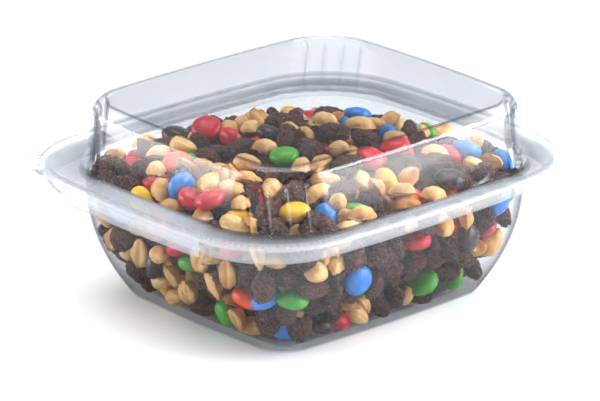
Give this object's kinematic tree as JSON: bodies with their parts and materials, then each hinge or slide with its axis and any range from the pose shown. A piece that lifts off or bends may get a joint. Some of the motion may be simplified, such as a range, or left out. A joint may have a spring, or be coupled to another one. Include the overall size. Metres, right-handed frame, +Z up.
{
  "type": "hinged clear food container with trail mix",
  "caption": "Clear domed clamshell container with a tear strip, full of nuts, raisins and candy-shelled chocolate drops.",
  "frame": {"origin": "under the middle of the rim, on the table", "axes": "+Z up; the hinge runs along X on the +Y side, so the lid opens towards +Y"},
  "size_m": [0.166, 0.1867, 0.0824],
  "materials": {
    "clear_sheet": "gloss",
    "shell_red": "semi-gloss",
    "shell_orange": "semi-gloss",
    "shell_yellow": "semi-gloss",
    "shell_green": "semi-gloss",
    "shell_blue": "semi-gloss",
    "shell_brown": "semi-gloss",
    "nut": "matte",
    "raisin": "satin",
    "mix": "matte"
  },
  "bodies": {
    "tub_body": {"tub": "clear_sheet", "tear_strip": "clear_sheet", "drops_red": "shell_red", "drops_orange": "shell_orange", "drops_yellow": "shell_yellow", "drops_green": "shell_green", "drops_blue": "shell_blue", "drops_brown": "shell_brown", "nut_halves": "nut", "whole_nuts": "nut", "raisins": "raisin", "mix_bed": "mix"},
    "lid_body": {"lid": "clear_sheet"}
  },
  "joints": [
    {"name": "lid_hinge", "type": "hinge", "parent": "tub_body", "child": "lid_body", "pos_m": [0, 0.0936, 0.05645], "axis": [-1, 0, 0], "range_deg": [0, 180]}
  ]
}
